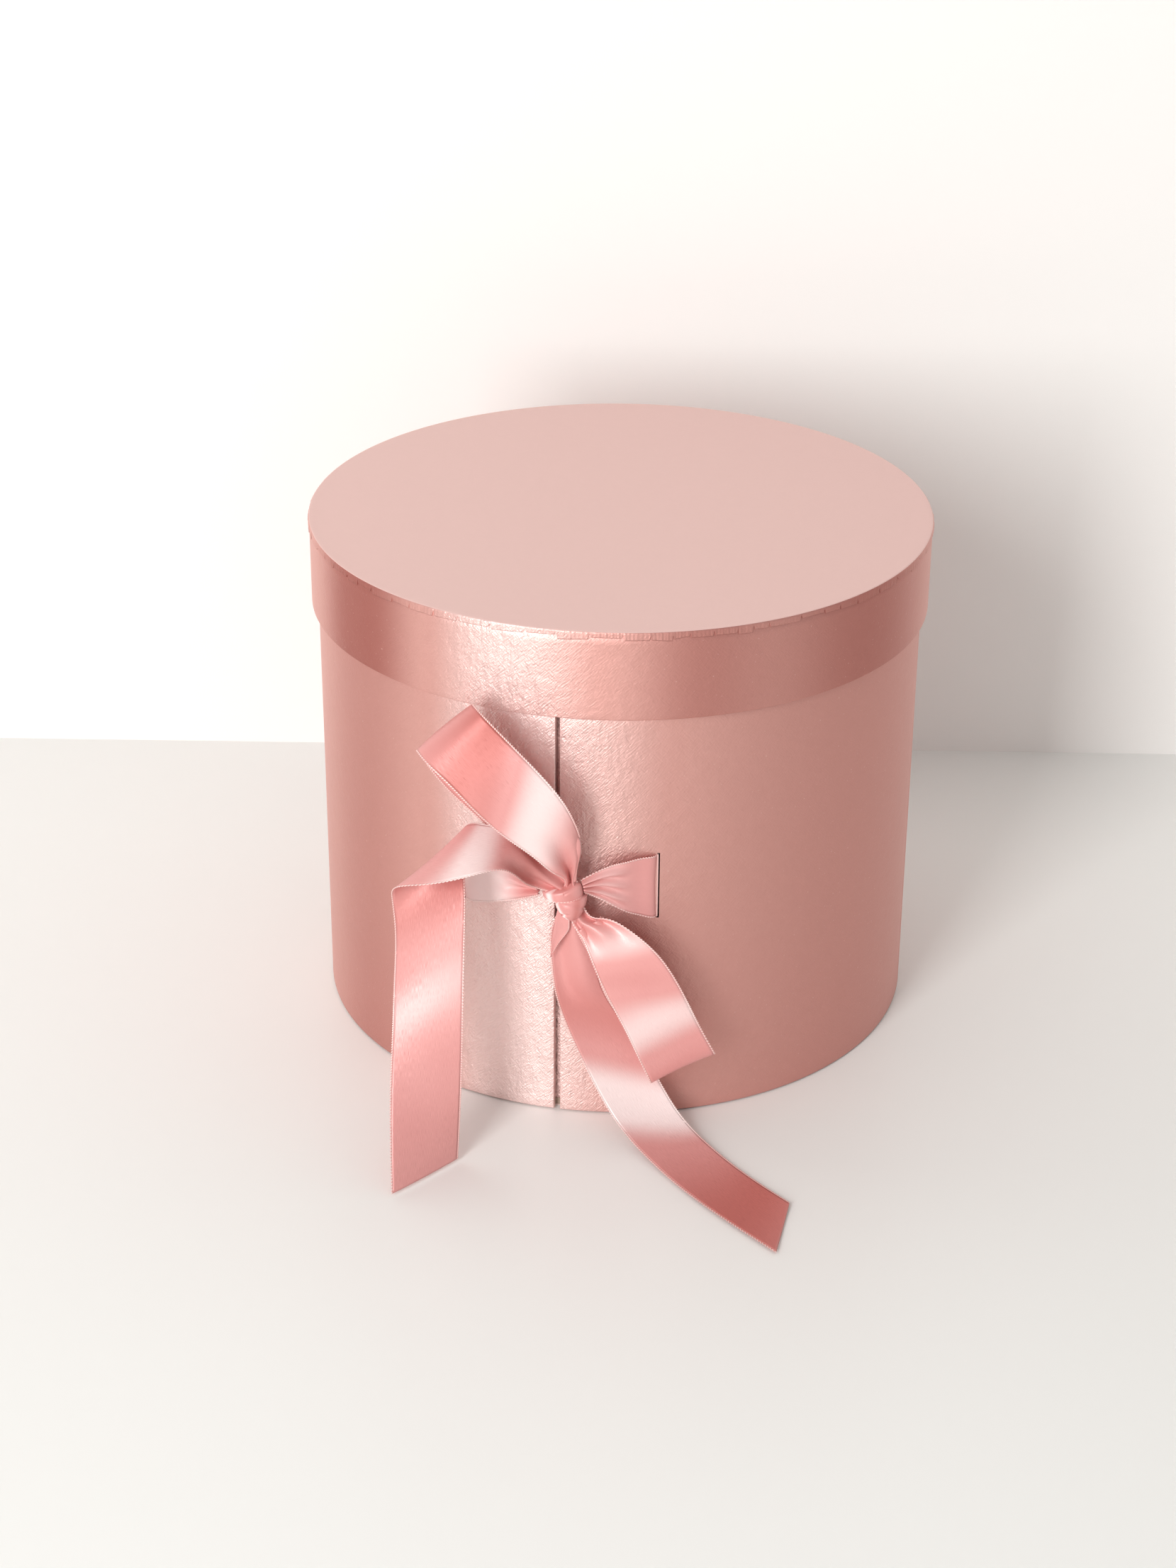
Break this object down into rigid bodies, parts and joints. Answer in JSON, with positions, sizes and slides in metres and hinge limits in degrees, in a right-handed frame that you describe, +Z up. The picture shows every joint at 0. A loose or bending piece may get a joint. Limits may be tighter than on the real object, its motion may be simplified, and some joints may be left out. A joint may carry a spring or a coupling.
{
  "type": "flower box",
  "caption": "Round paper-covered flower box with a lift-off lid, a pair of curved front doors over a gift compartment, a flower tub above it and a ribbon bow that ties the doors.",
  "frame": {"origin": "centre of the base on the table", "axes": "+Z up along the box's axis; -Y through the seam between the two front doors; +X towards the right door's hinge"},
  "size_m": [0.21, 0.2732, 0.1758],
  "materials": {
    "pearl_paper": "pearlescent rose paper over board, soft metallic sheen, fine linen grain",
    "greyboard": "rolled greyboard, matte",
    "lining_paper": "plain pale pink paper, matte, as on the underside and inside",
    "satin_ribbon": "double-faced satin, fine looped edge stitches"
  },
  "bodies": {
    "box": {"base_paper": "lining_paper", "base_board": "greyboard", "drum_board": "greyboard", "drum_paper": "pearl_paper", "shelf_board": "greyboard", "shell_board": "greyboard", "shell_paper": "pearl_paper"},
    "lid": {"lid_top_board": "greyboard", "lid_rim_board": "greyboard", "lid_top_paper": "pearl_paper", "lid_rim_paper": "pearl_paper"},
    "left_door": {"left_door_board": "greyboard", "left_door_paper": "pearl_paper", "left_ribbon_anchor": "satin_ribbon", "left_lead": "satin_ribbon", "upper_loop": "satin_ribbon", "left_tail": "satin_ribbon"},
    "right_door": {"right_door_board": "greyboard", "right_door_paper": "pearl_paper", "right_ribbon_anchor": "satin_ribbon", "right_lead": "satin_ribbon", "lower_loop": "satin_ribbon", "right_tail": "satin_ribbon", "knot_band": "satin_ribbon", "knot_wrap": "satin_ribbon"}
  },
  "joints": [
    {"name": "lid_lift", "type": "slide", "parent": "box", "child": "lid", "axis": [0, 0, 1], "range_m": [0, 0.12]},
    {"name": "left_door_hinge", "type": "hinge", "parent": "box", "child": "left_door", "pos_m": [-0.10245, 0, 0.073], "axis": [0, 0, -1], "range_deg": [0, 110]},
    {"name": "right_door_hinge", "type": "hinge", "parent": "box", "child": "right_door", "pos_m": [0.10245, 0, 0.073], "axis": [0, 0, 1], "range_deg": [0, 110]}
  ]
}
